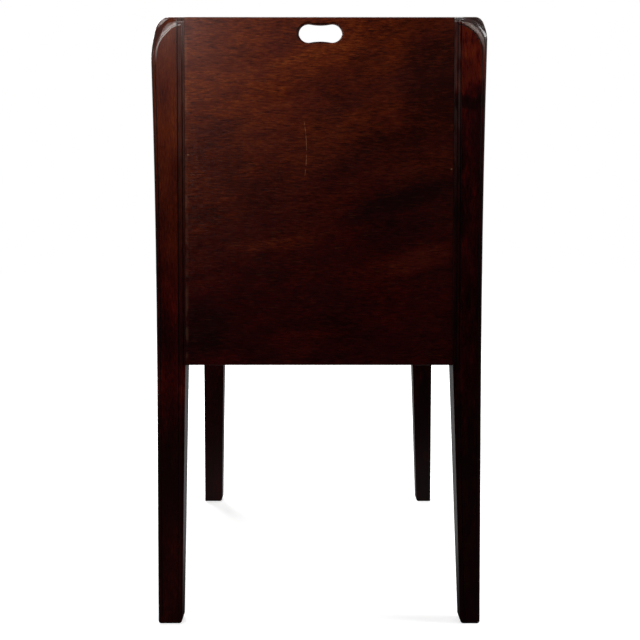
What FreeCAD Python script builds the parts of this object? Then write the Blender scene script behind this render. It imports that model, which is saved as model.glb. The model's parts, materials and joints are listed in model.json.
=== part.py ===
import FreeCAD, Part
import math
import os
import Sketcher

# Tray-top bedside cabinet with two sliding doors.
# Millimetres, +Z up, origin on the floor under the middle of the cabinet, doors towards -Y.

document = FreeCAD.newDocument("Cabinet")
sheet = document.addObject("Spreadsheet::Sheet", "Sizes")

SIZES = [
    # Whole cabinet
    ("width", 530, "over the side faces of the legs"),
    ("depth", 414, "over the legs, front to back, below the side boards"),
    ("height", 775, "floor to the top of the posts"),
    ("carcase_bottom", 334, "floor to the lower edge of the side boards"),
    ("overrun", 5, "how far a cut runs past the wood it cuts"),
    # Legs and posts
    ("leg_width", 35, "leg from side to side, above the taper"),
    ("leg_depth", 37, "leg from front to back, above the taper"),
    ("foot_width", 23.5, "side to side at the floor"),
    ("front_foot_depth", 25.8, "front to back at the floor, front legs"),
    ("back_foot_depth", 31.2, "front to back at the floor, back legs"),
    ("foot_round", 6, "rounded inner corner of the foot"),
    ("foot_ease", 2.5, "eased edge round the bottom of the foot"),
    ("post_flare", 5, "outward sweep of the post by its top"),
    ("arris_round", 5, "moulded outer corner of the leg"),
    ("head_band_round", 11, "moulding at its widest, round the head"),
    ("head_top_round", 8.5, "moulding along the top of the post"),
    ("inner_arris_round", 1.5, "eased edge of the head towards the tray"),
    ("front_head_run", 15, "rounded head of the front post, front to back"),
    ("front_head_drop", 30, "rounded head of the front post, top to bottom"),
    ("front_head_round", 12, "tight upper curve of the front post head"),
    ("back_head_run", 23.5, "rounded head of the back post, front to back"),
    ("back_head_drop", 56, "rounded head of the back post, top to bottom"),
    ("back_head_round", 19.5, "tight upper curve of the back post head"),
    ("bead_width", 8, "bead beside the side board"),
    ("foot_bead_width", 5, "the same bead where it ends at the floor"),
    ("quirk_width", 1.1, "sunk line beside the bead"),
    ("quirk_depth", 0.9, "depth of the sunk line"),
    # Side boards and back
    ("side_thickness", 12, "side board"),
    ("side_recess", 1, "side board behind the side face of the legs"),
    ("side_drop", 1, "side board below the top of the posts"),
    ("tongue_thickness", 6, "tongue on the edges of the side boards and back"),
    ("tongue_length", 7, "how far the tongue enters the post"),
    ("tongue_stop", 22, "end of the tongue below the top of its board"),
    ("edge_round", 2.5, "eased upper edges of the boards"),
    ("hold_lobe", 12.2, "radius of each lobe of the hand-hold"),
    ("hold_span", 30, "distance between the lobe centres"),
    ("hold_waist", 21.4, "height of the hand-hold at its waist"),
    ("hold_below_top", 20, "middle of the hand-hold below the board's top"),
    ("hold_offset", 1.5, "middle of the hand-hold in front of the board's middle"),
    ("hold_ease", 2, "eased rim of the hand-hold"),
    ("back_thickness", 12, "back board"),
    ("back_recess", 12, "back board in front of the back face of the legs"),
    ("back_drop", 12, "back board below the top of the posts"),
    # Tray and floor
    ("tray_sink", 50, "tray surface below the top of the posts"),
    ("tray_thickness", 14, "tray board"),
    ("housing", 4, "how far tray and floor enter the side boards"),
    ("lip_height", 22, "front lip above the tray surface"),
    ("lip_thickness", 12, "front lip"),
    ("floor_thickness", 12, "floor board"),
    ("block_size", 12, "glue block, each way"),
    ("block_length", 40, "glue block, along its corner"),
    # Front rails
    ("rail_recess", 3, "front rails behind the front face of the legs"),
    ("rail_depth", 50, "front rails, front to back"),
    ("sill_height", 24, "lower front rail"),
    ("head_height", 22, "upper front rail"),
    ("tenon_length", 10, "rail tenon in the post"),
    ("tenon_shoulder", 4, "rail above and below its tenon"),
    ("tenon_inset", 6, "rail in front of its tenon"),
    ("tenon_width", 18, "tenon, front to back"),
    ("sill_groove", 6, "depth of the door grooves in the lower rail"),
    ("head_groove", 14, "depth of the door grooves in the upper rail"),
    # Doors
    ("door_thickness", 15, "door frame"),
    ("door_gap", 3, "gap between the passing doors"),
    ("door_setback", 4.5, "front door behind the face of the rails"),
    ("door_overlap", 26, "overlap of the closed doors"),
    ("door_end_gap", 0.5, "gap between a closed door and the post"),
    ("door_face_gap", 1, "gap between the door frame and a rail"),
    ("door_seat_gap", 0.3, "running gap under the lower door tongue"),
    ("door_tongue", 7, "thickness of the door tongues"),
    ("door_side_gap", 0.4, "running gap each side of a door tongue"),
    ("door_upper_tongue", 8, "height of the upper door tongue"),
    ("stile_width", 38, "upright of the door frame"),
    ("door_rail_height", 38, "cross rail of the door frame"),
    ("door_tenon", 22, "tenon of the cross rail"),
    ("door_tenon_shoulder", 7, "cross rail beyond its tenon"),
    ("door_panel_thickness", 6, "panel in the door frame"),
    ("door_panel_groove", 6, "depth of the panel groove"),
    ("door_panel_play", 0.4, "room left for the panel to move"),
    # Finger pulls
    ("pull_rim_radius", 15, "rim of the finger pull"),
    ("pull_rim_thickness", 1.2, "rim in front of the door"),
    ("pull_radius", 11.5, "cup of the finger pull"),
    ("pull_wall", 1.2, "wall of the cup"),
    ("pull_depth", 8.5, "depth of the cup in the door"),
    ("pull_fit", 0.1, "room round the cup and the pins"),
    ("pin_radius", 0.8, "shank of a pin"),
    ("pin_length", 7, "shank of a pin"),
    ("pin_head_radius", 1.4, "head of a pin"),
    ("pin_head_height", 0.5, "head of a pin"),
]

for row, (alias, value, note) in enumerate(SIZES, start=1):
    sheet.set("A%d" % row, alias)
    sheet.set("B%d" % row, str(value))
    sheet.set("C%d" % row, note)
    sheet.setAlias("B%d" % row, alias)
document.recompute()


class Size:
    # A length that knows its value now and its expression on the sheet.
    def __init__(self, value, text):
        self.value = value
        self.text = text

    def __add__(self, other):
        other = sized(other)
        return Size(self.value + other.value, "(%s + %s)" % (self.text, other.text))

    def __sub__(self, other):
        other = sized(other)
        return Size(self.value - other.value, "(%s - %s)" % (self.text, other.text))

    def __mul__(self, other):
        other = sized(other)
        return Size(self.value * other.value, "(%s * %s)" % (self.text, other.text))

    def __truediv__(self, other):
        other = sized(other)
        return Size(self.value / other.value, "(%s / %s)" % (self.text, other.text))

    def __neg__(self):
        return Size(-self.value, "(0 - %s)" % self.text)


def sized(number):
    if isinstance(number, Size):
        return number
    return Size(float(number), str(number))


def size(alias):
    return Size(float(sheet.get(alias)), "Sizes." + alias)


def bind(thing, prop, length):
    thing.setExpression(prop, sized(length).text)


ZERO = sized(0)
overrun = size("overrun")
nearly = 0.01  # two measures this close are taken as equal


# Small building steps

def new_body(label):
    body = document.addObject("PartDesign::Body", label)
    body.Label = label
    return body


def box_in_body(body, kind, name, low, high):
    box = body.newObject("PartDesign::" + kind + "Box", name)
    for axis, side, start, end in zip("xyz", ("Length", "Width", "Height"), low, high):
        bind(box, side, end - start)
        bind(box, "Placement.Base." + axis, start)
    return box


def add_box(body, name, low, high):
    return box_in_body(body, "Additive", name, low, high)


def cut_box(body, name, low, high):
    return box_in_body(body, "Subtractive", name, low, high)


def cut_hole(body, name, mouth, radius, deep):
    # A hole drilled in from the front, towards +Y
    hole = body.newObject("PartDesign::SubtractiveCylinder", name)
    bind(hole, "Radius", radius)
    bind(hole, "Height", deep)
    hole.Placement.Rotation = FreeCAD.Rotation(FreeCAD.Vector(1, 0, 0), -90)
    for axis, place in zip("xyz", mouth):
        bind(hole, "Placement.Base." + axis, place)
    return hole


def sketch_on(body, role, name, offset=ZERO):
    sketch = body.newObject("Sketcher::SketchObject", name)
    plane = [item for item in body.Origin.OriginFeatures if item.Role == role][0]
    sketch.AttachmentSupport = (plane, [""])
    sketch.MapMode = "FlatFace"
    bind(sketch, "AttachmentOffset.Base.z", offset)
    return sketch


def spot(point):
    return FreeCAD.Vector(point[0].value, point[1].value, 0)


def pin_down(sketch, curve, end, point):
    # Ties one end of a curve to its place on the sheet
    for direction, place in zip(("DistanceX", "DistanceY"), point):
        index = sketch.addConstraint(Sketcher.Constraint(direction, -1, 1, curve, end, place.value))
        bind(sketch, "Constraints[%d]" % index, place)


def set_radius(sketch, curve, radius):
    index = sketch.addConstraint(Sketcher.Constraint("Radius", curve, radius.value))
    bind(sketch, "Constraints[%d]" % index, radius)


def join(sketch, kind, first, first_end, second, second_end):
    sketch.addConstraint(Sketcher.Constraint(kind, first, first_end, second, second_end))


def polygon(sketch, points):
    ends = points[1:] + points[:1]
    lines = [Part.LineSegment(spot(start), spot(end)) for start, end in zip(points, ends)]
    sketch.addGeometry(lines, False)
    for number, point in enumerate(points):
        join(sketch, "Coincident", number - 1 if number else len(points) - 1, 2, number, 1)
        pin_down(sketch, number, 1, point)


def arc_between(centre, radius, start, end):
    # Runs anticlockwise from start to end
    angles = [math.atan2(place[1] - centre[1], place[0] - centre[0]) for place in (start, end)]
    circle = Part.Circle(FreeCAD.Vector(centre[0], centre[1], 0), FreeCAD.Vector(0, 0, 1), radius)
    return Part.ArcOfCircle(circle, angles[0], angles[1])


def pad(body, name, sketch, length):
    feature = body.newObject("PartDesign::Pad", name)
    feature.Profile = sketch
    bind(feature, "Length", length)
    sketch.Visibility = False
    return feature


def pocket(body, name, sketch, length):
    before = body.Shape.Volume
    feature = body.newObject("PartDesign::Pocket", name)
    feature.Profile = sketch
    bind(feature, "Length", length)
    document.recompute()
    if body.Shape.Volume >= before:
        raise RuntimeError(name + " cuts nothing")
    return feature


def edges_where(shape, test):
    return ["Edge%d" % number for number, edge in enumerate(shape.Edges, start=1) if test(edge)]


def round_edges(body, name, radius, test):
    document.recompute()
    base = body.Tip
    feature = body.newObject("PartDesign::Fillet", name)
    feature.Base = (base, edges_where(base.Shape, test))
    bind(feature, "Radius", radius)
    return feature


def middle(edge):
    return edge.BoundBox.Center


def near(first, second):
    return abs(first - second) < nearly


def runs_along(edge, axis):
    spans = (edge.BoundBox.XLength, edge.BoundBox.YLength, edge.BoundBox.ZLength)
    return all(near(span, 0) for number, span in enumerate(spans) if number != axis)


def mirrored(label, source, normal):
    copy = document.addObject("Part::Mirroring", label)
    copy.Label = label
    copy.Source = source
    copy.Normal = FreeCAD.Vector(*normal)
    return copy


nodes = []


# Places that several pieces share

half_width = size("width") / 2
half_depth = size("depth") / 2
top = size("height")
bottom = size("carcase_bottom")
post_side = half_width - size("leg_width")
post_inner = half_depth - size("leg_depth")

side_outer = half_width - size("side_recess")
side_inner = side_outer - size("side_thickness")
side_top = top - size("side_drop")
housed = side_inner + size("housing")
side_tongue = side_inner + (size("side_thickness") - size("tongue_thickness")) / 2

back_outer = half_depth - size("back_recess")
back_inner = back_outer - size("back_thickness")
back_top = top - size("back_drop")
back_tongue = back_inner + (size("back_thickness") - size("tongue_thickness")) / 2

rail_front = size("rail_recess") - half_depth
rail_back = rail_front + size("rail_depth")
tenon_front = rail_front + size("tenon_inset")
tenon_back = tenon_front + size("tenon_width")
tenon_end = post_side + size("tenon_length")

sill_top = bottom + size("sill_height")
tray_top = top - size("tray_sink")
tray_bottom = tray_top - size("tray_thickness")
head_bottom = tray_bottom - size("head_height")
floor_top = sill_top
floor_bottom = floor_top - size("floor_thickness")
lip_back = rail_front + size("lip_thickness")


# Legs with their posts: outline in the side view, drawn for the back right corner

def leg_outline(sketch, foot_depth, head_run, head_drop, head_round):
    crown = half_depth + size("post_flare")
    flare_end = (crown, top - head_drop)
    head_end = (crown - head_run, top)
    sweep = size("post_flare").value
    rise = (flare_end[1] - bottom).value
    flare_radius = (sweep ** 2 + rise ** 2) / (2 * sweep)
    lean = math.asin(rise / flare_radius)
    flare_centre = (half_depth.value + flare_radius, bottom.value)
    tight = head_round.value
    tight_centre = (head_end[0].value, top.value - tight)
    inward = (-math.cos(lean), math.sin(lean))
    across = (flare_end[0].value - tight_centre[0], flare_end[1].value - tight_centre[1])
    wide = (tight ** 2 - across[0] ** 2 - across[1] ** 2) / (
        2 * (across[0] * inward[0] + across[1] * inward[1] + tight))
    wide_centre = (flare_end[0].value + wide * inward[0], flare_end[1].value + wide * inward[1])
    apart = math.hypot(tight_centre[0] - wide_centre[0], tight_centre[1] - wide_centre[1])
    meet = [tight_centre[i] + tight * (tight_centre[i] - wide_centre[i]) / apart for i in (0, 1)]
    flare_top = (flare_end[0].value, flare_end[1].value)
    foot_outer = (half_depth, ZERO)
    flare_start = (half_depth, bottom)
    post_top = (post_inner, top)
    taper_top = (post_inner, bottom)
    foot_inner = (half_depth - foot_depth, ZERO)
    outer_line, flare, wide_arc, tight_arc, top_line, inner_line, taper, sole = range(8)
    sketch.addGeometry([
        Part.LineSegment(spot(foot_outer), spot(flare_start)),
        arc_between(flare_centre, flare_radius, flare_top, (half_depth.value, bottom.value)),
        arc_between(wide_centre, wide, flare_top, meet),
        arc_between(tight_centre, tight, meet, (head_end[0].value, top.value)),
        Part.LineSegment(spot(head_end), spot(post_top)),
        Part.LineSegment(spot(post_top), spot(taper_top)),
        Part.LineSegment(spot(taper_top), spot(foot_inner)),
        Part.LineSegment(spot(foot_inner), spot(foot_outer)),
    ], False)
    join(sketch, "Tangent", outer_line, 2, flare, 2)
    join(sketch, "Tangent", flare, 1, wide_arc, 1)
    join(sketch, "Tangent", wide_arc, 2, tight_arc, 1)
    join(sketch, "Tangent", tight_arc, 2, top_line, 1)
    join(sketch, "Coincident", top_line, 2, inner_line, 1)
    join(sketch, "Coincident", inner_line, 2, taper, 1)
    join(sketch, "Coincident", taper, 2, sole, 1)
    join(sketch, "Coincident", sole, 2, outer_line, 1)
    pin_down(sketch, outer_line, 1, foot_outer)
    pin_down(sketch, outer_line, 2, flare_start)
    pin_down(sketch, flare, 1, flare_end)
    pin_down(sketch, tight_arc, 2, head_end)
    pin_down(sketch, top_line, 2, post_top)
    pin_down(sketch, inner_line, 2, taper_top)
    pin_down(sketch, taper, 2, foot_inner)
    set_radius(sketch, tight_arc, head_round)


def leg_blank(label, foot_depth, head):
    body = new_body(label)
    outline = sketch_on(body, "YZ_Plane", label + "_outline", post_side)
    leg_outline(outline, foot_depth, *head)
    pad(body, label + "_pad", outline, size("leg_width"))
    document.recompute()
    taper = sketch_on(body, "XZ_Plane", label + "_taper")
    beyond = post_side - overrun
    foot_side = half_width - size("foot_width")
    polygon(taper, [(post_side, bottom), (foot_side, ZERO), (foot_side, -overrun),
                    (beyond, -overrun), (beyond, bottom)])
    pocket(body, label + "_taper_cut", taper, half_depth + size("post_flare") + overrun)
    cut_box(body, label + "_side_groove", (side_tongue, post_inner - overrun, bottom),
            (side_tongue + size("tongue_thickness"), post_inner + size("tongue_length"),
             side_top - size("tongue_stop")))
    return body


def leg_edges(shape):
    # Edges round the outer side face, each with the moulding's radius at its lower and upper end
    plain = size("arris_round").value
    widest = size("head_band_round").value
    along_top = size("head_top_round").value
    found = []
    for number, edge in enumerate(shape.Edges, start=1):
        box = edge.BoundBox
        at_side = near(box.XMin, half_width.value) and near(box.XMax, half_width.value)
        level = near(box.ZMin, box.ZMax)
        inner = near(box.YMin, post_inner.value) and not level
        if not at_side or inner or near(box.ZMax, 0):
            continue
        rounded = edge.Curve.TypeId == "Part::GeomCircle" and not near(box.ZMin, bottom.value)
        if level:
            radii = (along_top, along_top)
        elif not rounded:
            radii = (plain, plain)
        elif near(box.ZMax, top.value):
            radii = (widest, along_top)
        else:
            radii = (plain, widest)
        rising = edge.valueAt(edge.FirstParameter).z <= edge.valueAt(edge.LastParameter).z
        found.append((number,) + (radii if rising else radii[::-1]))
    return found


def foot_edges(shape):
    # Edges round the sole: a full round towards the middle of the cabinet, an eased edge elsewhere
    found = []
    for number, edge in enumerate(shape.Edges, start=1):
        box = edge.BoundBox
        if not near(box.ZMax, 0):
            continue
        inner = near(box.YMin, box.YMax) and not near(box.YMin, half_depth.value)
        radius = size("foot_round" if inner else "foot_ease").value
        found.append((number, radius, radius))
    return found


def rounded(label, base, choose):
    document.recompute()
    fillet = document.addObject("Part::Fillet", label)
    fillet.Base = base
    fillet.Edges = choose(base.Shape)
    document.recompute()
    return fillet


def quirk_strip(label, foot_depth):
    # What the sunk line takes away: upright beside the side board, then leaning with the taper
    body = new_body(label)
    outline = sketch_on(body, "YZ_Plane", label + "_outline", half_width - size("quirk_depth"))
    upper = post_inner + size("bead_width")
    lower = half_depth - foot_depth + size("foot_bead_width")
    above = top + overrun
    polygon(outline, [(lower, -overrun), (lower + size("quirk_width"), -overrun),
                      (lower + size("quirk_width"), ZERO), (upper + size("quirk_width"), bottom),
                      (upper + size("quirk_width"), above), (upper, above), (upper, bottom),
                      (lower, ZERO)])
    pad(body, label + "_pad", outline, size("quirk_depth") + overrun)
    return body


def leg(label, body, foot_depth):
    moulded = rounded(label + "_moulded", body, leg_edges)
    eased = rounded(label + "_eased", moulded, foot_edges)
    finished = document.addObject("Part::Cut", label)
    finished.Label = label
    finished.Base = eased
    finished.Tool = quirk_strip(label + "_quirk", foot_depth)
    return finished


back_blank = leg_blank("back_leg_blank", size("back_foot_depth"),
                       (size("back_head_run"), size("back_head_drop"), size("back_head_round")))
cut_box(back_blank, "back_groove", (post_side - overrun, back_tongue, bottom),
        (post_side + size("tongue_length"), back_tongue + size("tongue_thickness"),
         back_top - size("tongue_stop")))
leg_back_right = leg("leg_back_right", back_blank, size("back_foot_depth"))
leg_back_left = mirrored("leg_back_left", leg_back_right, (1, 0, 0))
nodes += [leg_back_right, leg_back_left]

front_blank = leg_blank("front_leg_blank", size("front_foot_depth"),
                        (size("front_head_run"), size("front_head_drop"), size("front_head_round")))
for rail_name, rail_bottom, rail_height in (("sill", bottom, size("sill_height")),
                                            ("head", head_bottom, size("head_height"))):
    cut_box(front_blank, rail_name + "_mortise",
            (post_side - overrun, -tenon_back, rail_bottom + size("tenon_shoulder")),
            (tenon_end, -tenon_front, rail_bottom + rail_height - size("tenon_shoulder")))
front_master = leg("front_leg_at_back", front_blank, size("front_foot_depth"))
leg_front_right = mirrored("leg_front_right", front_master, (0, 1, 0))
leg_front_left = mirrored("leg_front_left", leg_front_right, (1, 0, 0))
nodes += [leg_front_right, leg_front_left]


# Side boards with their hand-holds

def hand_hold(sketch):
    lobe = size("hold_lobe")
    half_span = size("hold_span") / 2
    half_waist = size("hold_waist") / 2
    level = side_top - size("hold_below_top")
    centre = -size("hold_offset")
    waist_radius = (half_span * half_span + half_waist * half_waist - lobe * lobe) / (
        (lobe - half_waist) * 2)
    share = lobe.value / (lobe + waist_radius).value
    lift = (half_waist + waist_radius).value
    meet_y = half_span.value * (1 - share)
    meet_z = lift * share
    right_centre = (centre + half_span, level)
    left_centre = (centre - half_span, level)
    right, left = [(place[0].value, place[1].value) for place in (right_centre, left_centre)]
    above = (centre.value, level.value + lift)
    below = (centre.value, level.value - lift)
    corners = {(y, z): (centre.value + y * meet_y, level.value + z * meet_z)
               for y in (-1, 1) for z in (-1, 1)}
    right_lobe, upper_waist, left_lobe, lower_waist = range(4)
    sketch.addGeometry([
        arc_between(right, lobe.value, corners[1, -1], corners[1, 1]),
        arc_between(above, waist_radius.value, corners[-1, 1], corners[1, 1]),
        arc_between(left, lobe.value, corners[-1, 1], corners[-1, -1]),
        arc_between(below, waist_radius.value, corners[1, -1], corners[-1, -1]),
    ], False)
    join(sketch, "Tangent", right_lobe, 2, upper_waist, 2)
    join(sketch, "Tangent", upper_waist, 1, left_lobe, 1)
    join(sketch, "Tangent", left_lobe, 2, lower_waist, 2)
    join(sketch, "Tangent", lower_waist, 1, right_lobe, 1)
    pin_down(sketch, right_lobe, 3, right_centre)
    pin_down(sketch, left_lobe, 3, left_centre)
    set_radius(sketch, right_lobe, lobe)
    set_radius(sketch, left_lobe, lobe)
    for waist in (upper_waist, lower_waist):
        set_radius(sketch, waist, waist_radius)


def side_panel(label):
    body = new_body(label)
    add_box(body, label + "_board", (side_inner, -post_inner, bottom),
            (side_outer, post_inner, side_top))
    reach = post_inner + size("tongue_length")
    add_box(body, label + "_tongues", (side_tongue, -reach, bottom),
            (side_tongue + size("tongue_thickness"), reach, side_top - size("tongue_stop")))
    cut_box(body, label + "_tray_housing", (side_inner - overrun, -post_inner, tray_bottom),
            (housed, post_inner, tray_top))
    cut_box(body, label + "_floor_housing", (side_inner - overrun, rail_back, floor_bottom),
            (housed, post_inner, floor_top))
    document.recompute()
    outline = sketch_on(body, "YZ_Plane", label + "_hold", side_outer + overrun)
    hand_hold(outline)
    pocket(body, label + "_hold_cut", outline, size("side_thickness") + overrun * 2)
    round_edges(body, label + "_hold_rim", size("hold_ease"),
                lambda edge: near(edge.BoundBox.XMin, edge.BoundBox.XMax)
                and edge.Curve.TypeId == "Part::GeomCircle")
    round_edges(body, label + "_top_edge", size("edge_round"),
                lambda edge: runs_along(edge, 1) and near(middle(edge).z, side_top.value))
    return body


side_panel_right = side_panel("side_panel_right")
side_panel_left = mirrored("side_panel_left", side_panel_right, (1, 0, 0))
nodes += [side_panel_right, side_panel_left]


# Back board, which rises above the tray

back_panel = new_body("back_panel")
add_box(back_panel, "back_board", (-post_side, back_inner, bottom),
        (post_side, back_outer, back_top))
back_reach = post_side + size("tongue_length")
add_box(back_panel, "back_tongues", (-back_reach, back_tongue, bottom),
        (back_reach, back_tongue + size("tongue_thickness"), back_top - size("tongue_stop")))
round_edges(back_panel, "back_top_edge", size("edge_round"),
            lambda edge: runs_along(edge, 0) and near(middle(edge).z, back_top.value))
nodes.append(back_panel)


# Boards that fit round the posts

def notched_board(label, low, high, right_edge):
    # right_edge: corners of the right half, from the front to the back
    body = new_body(label)
    sketch = sketch_on(body, "XY_Plane", label + "_outline", low)
    left_edge = [(-x, y) for x, y in reversed(right_edge)]
    polygon(sketch, right_edge + left_edge)
    pad(body, label + "_pad", sketch, high - low)
    return body


round_back_posts = [(housed, post_inner), (post_side, post_inner), (post_side, back_inner)]
round_front_posts = [(post_side, lip_back), (post_side, -post_inner), (housed, -post_inner)]

tray_board = notched_board("tray_board", tray_bottom, tray_top,
                           round_front_posts + round_back_posts)
nodes.append(tray_board)

floor_board = notched_board("floor_board", floor_bottom, floor_top,
                            [(housed, rail_back)] + round_back_posts)
nodes.append(floor_board)

tray_front_lip = new_body("tray_front_lip")
lip_top = tray_top + size("lip_height")
add_box(tray_front_lip, "lip_board", (-post_side, rail_front, tray_bottom),
        (post_side, lip_back, lip_top))
round_edges(tray_front_lip, "lip_top_edge", size("edge_round"),
            lambda edge: runs_along(edge, 0) and near(middle(edge).z, lip_top.value))
nodes.append(tray_front_lip)


# Front rails with the grooves in which the doors run

front_door_middle = rail_front + size("door_setback") + size("door_thickness") / 2
rear_door_middle = front_door_middle + size("door_thickness") + size("door_gap")
half_groove = size("door_tongue") / 2 + size("door_side_gap")


def front_rail(label, low, high, groove_low, groove_high):
    body = notched_board(label, low, high, [(post_side, rail_front), (post_side, -post_inner),
                                            (side_inner, -post_inner), (side_inner, rail_back)])
    for end, start_x, end_x in (("left", -tenon_end, -post_side), ("right", post_side, tenon_end)):
        add_box(body, label + "_tenon_" + end,
                (start_x, tenon_front, low + size("tenon_shoulder")),
                (end_x, tenon_back, high - size("tenon_shoulder")))
    for track, along in (("front", front_door_middle), ("rear", rear_door_middle)):
        cut_box(body, label + "_groove_" + track, (-post_side, along - half_groove, groove_low),
                (post_side, along + half_groove, groove_high))
    return body


door_sill = front_rail("door_sill", bottom, sill_top, sill_top - size("sill_groove"),
                       sill_top + overrun)
door_head = front_rail("door_head", head_bottom, tray_bottom, head_bottom - overrun,
                       head_bottom + size("head_groove"))
nodes += [door_sill, door_head]


# Glue blocks in the corners under the floor and under the tray

def glue_blocks(label, ceiling, front):
    clear_front = front + size("block_length") / 2 + size("block_size")
    clear_back = post_inner - size("block_length") / 2 - size("block_size")
    blocks = []
    for side in (-1, 1):
        for number, along in enumerate((clear_front, (clear_front + clear_back) / 2, clear_back)):
            hand = "left" if side < 0 else "right"
            block = document.addObject("Part::Box", "%s_%s_%d" % (label, hand, number))
            bind(block, "Length", size("block_size"))
            bind(block, "Width", size("block_length"))
            bind(block, "Height", size("block_size"))
            start = -side_inner if side < 0 else side_inner - size("block_size")
            bind(block, "Placement.Base.x", start)
            bind(block, "Placement.Base.y", along - size("block_length") / 2)
            bind(block, "Placement.Base.z", ceiling - size("block_size"))
            blocks.append(block)
    for number, place in enumerate((-1, 1)):
        block = document.addObject("Part::Box", "%s_back_%d" % (label, number))
        bind(block, "Length", size("block_length"))
        bind(block, "Width", size("block_size"))
        bind(block, "Height", size("block_size"))
        bind(block, "Placement.Base.x", post_side * place / 2 - size("block_length") / 2)
        bind(block, "Placement.Base.y", back_inner - size("block_size"))
        bind(block, "Placement.Base.z", ceiling - size("block_size"))
        blocks.append(block)
    group = document.addObject("Part::Compound", label)
    group.Label = label
    group.Links = blocks
    return group


nodes.append(glue_blocks("floor_blocks", floor_bottom, rail_back))
nodes.append(glue_blocks("tray_blocks", tray_bottom, rail_back))


# Sliding doors: framed panels with tongues above and below

opening = post_side * 2
door_width = (opening + size("door_overlap")) / 2 - size("door_end_gap")
door_low = sill_top + size("door_face_gap")
door_high = head_bottom - size("door_face_gap")
tongue_low = sill_top - size("sill_groove") + size("door_seat_gap")
tongue_high = door_high + size("door_upper_tongue")
half_door = size("door_thickness") / 2
half_tongue = size("door_tongue") / 2
half_panel = size("door_panel_thickness") / 2
pull_level = (door_low + door_high) / 2
pin_offset = (size("pull_radius") + size("pull_rim_radius")) / 2


def add_tongues(body, start_x, end_x, along, lower, upper):
    if lower:
        add_box(body, body.Label + "_lower_tongue", (start_x, along - half_tongue, tongue_low),
                (end_x, along + half_tongue, door_low))
    if upper:
        add_box(body, body.Label + "_upper_tongue", (start_x, along - half_tongue, door_high),
                (end_x, along + half_tongue, tongue_high))


def door_stile(label, start_x, inner_is_right, along):
    body = new_body(label)
    end_x = start_x + size("stile_width")
    add_box(body, label + "_upright", (start_x, along - half_door, door_low),
            (end_x, along + half_door, door_high))
    add_tongues(body, start_x, end_x, along, True, True)
    edge = end_x if inner_is_right else start_x
    cuts = [("groove", size("door_panel_groove"), door_low, door_high)]
    upper_rail = door_high - size("door_rail_height")
    for name, low in (("lower_mortise", door_low), ("upper_mortise", upper_rail)):
        cuts.append((name, size("door_tenon"), low + size("door_tenon_shoulder"),
                     low + size("door_rail_height") - size("door_tenon_shoulder")))
    for name, deep, low, high in cuts:
        start, end = (edge - deep, edge) if inner_is_right else (edge, edge + deep)
        cut_box(body, label + "_" + name, (start, along - half_panel, low),
                (end, along + half_panel, high))
    return body


def door_rail(label, start_x, end_x, low, along, is_lower):
    body = new_body(label)
    high = low + size("door_rail_height")
    deep = size("door_panel_groove")
    tenon = size("door_tenon")
    add_box(body, label + "_bar", (start_x, along - half_door, low), (end_x, along + half_door, high))
    add_box(body, label + "_haunches", (start_x - deep, along - half_panel, low),
            (end_x + deep, along + half_panel, high))
    add_box(body, label + "_tenons",
            (start_x - tenon, along - half_panel, low + size("door_tenon_shoulder")),
            (end_x + tenon, along + half_panel, high - size("door_tenon_shoulder")))
    add_tongues(body, start_x, end_x, along, is_lower, not is_lower)
    groove_low = high - deep if is_lower else low - overrun
    groove_high = high + overrun if is_lower else low + deep
    cut_box(body, label + "_groove", (start_x - deep - overrun, along - half_panel, groove_low),
            (end_x + deep + overrun, along + half_panel, groove_high))
    return body


def finger_pull(label, x, face):
    body = new_body(label)
    inside = size("pull_radius") - size("pull_wall")
    rim = size("pull_rim_thickness")
    floor = size("pull_wall") - size("pull_depth")
    section = sketch_on(body, "XZ_Plane", label + "_section")
    polygon(section, [(ZERO, -size("pull_depth")), (size("pull_radius"), -size("pull_depth")),
                      (size("pull_radius"), ZERO), (size("pull_rim_radius"), ZERO),
                      (size("pull_rim_radius"), rim), (inside, rim), (inside, floor), (ZERO, floor)])
    turned = body.newObject("PartDesign::Revolution", label + "_turned")
    turned.Profile = section
    turned.ReferenceAxis = (section, ["V_Axis"])
    turned.Angle = 360
    for name, side in (("upper", 1), ("lower", -1)):
        hole = body.newObject("PartDesign::SubtractiveCylinder", "%s_%s_hole" % (label, name))
        bind(hole, "Radius", size("pin_radius") + size("pull_fit"))
        bind(hole, "Height", rim + overrun)
        bind(hole, "Placement.Base.y", pin_offset * side)
        bind(hole, "Placement.Base.z", ZERO)
    body.Placement.Rotation = FreeCAD.Rotation(FreeCAD.Vector(1, 0, 0), 90)
    for axis, place in zip("xyz", (x, face, pull_level)):
        bind(body, "Placement.Base." + axis, place)
    return body


def pull_pins(label, x, face):
    pins = []
    for name, side in (("upper", 1), ("lower", -1)):
        level = pull_level + pin_offset * side
        parts = []
        for part, radius, length, back in (
                ("shank", size("pin_radius"), size("pin_length"),
                 size("pin_length") - size("pull_rim_thickness")),
                ("cap", size("pin_head_radius"), size("pin_head_height"), -size("pull_rim_thickness"))):
            piece = document.addObject("Part::Cylinder", "%s_%s_%s" % (label, name, part))
            bind(piece, "Radius", radius)
            bind(piece, "Height", length)
            piece.Placement.Rotation = FreeCAD.Rotation(FreeCAD.Vector(1, 0, 0), 90)
            for axis, place in zip("xyz", (x, face + back, level)):
                bind(piece, "Placement.Base." + axis, place)
            parts.append(piece)
        pin = document.addObject("Part::Fuse", "%s_%s" % (label, name))
        pin.Base, pin.Tool = parts
        pins.append(pin)
    group = document.addObject("Part::Compound", label)
    group.Label = label
    group.Links = pins
    return group


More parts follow.
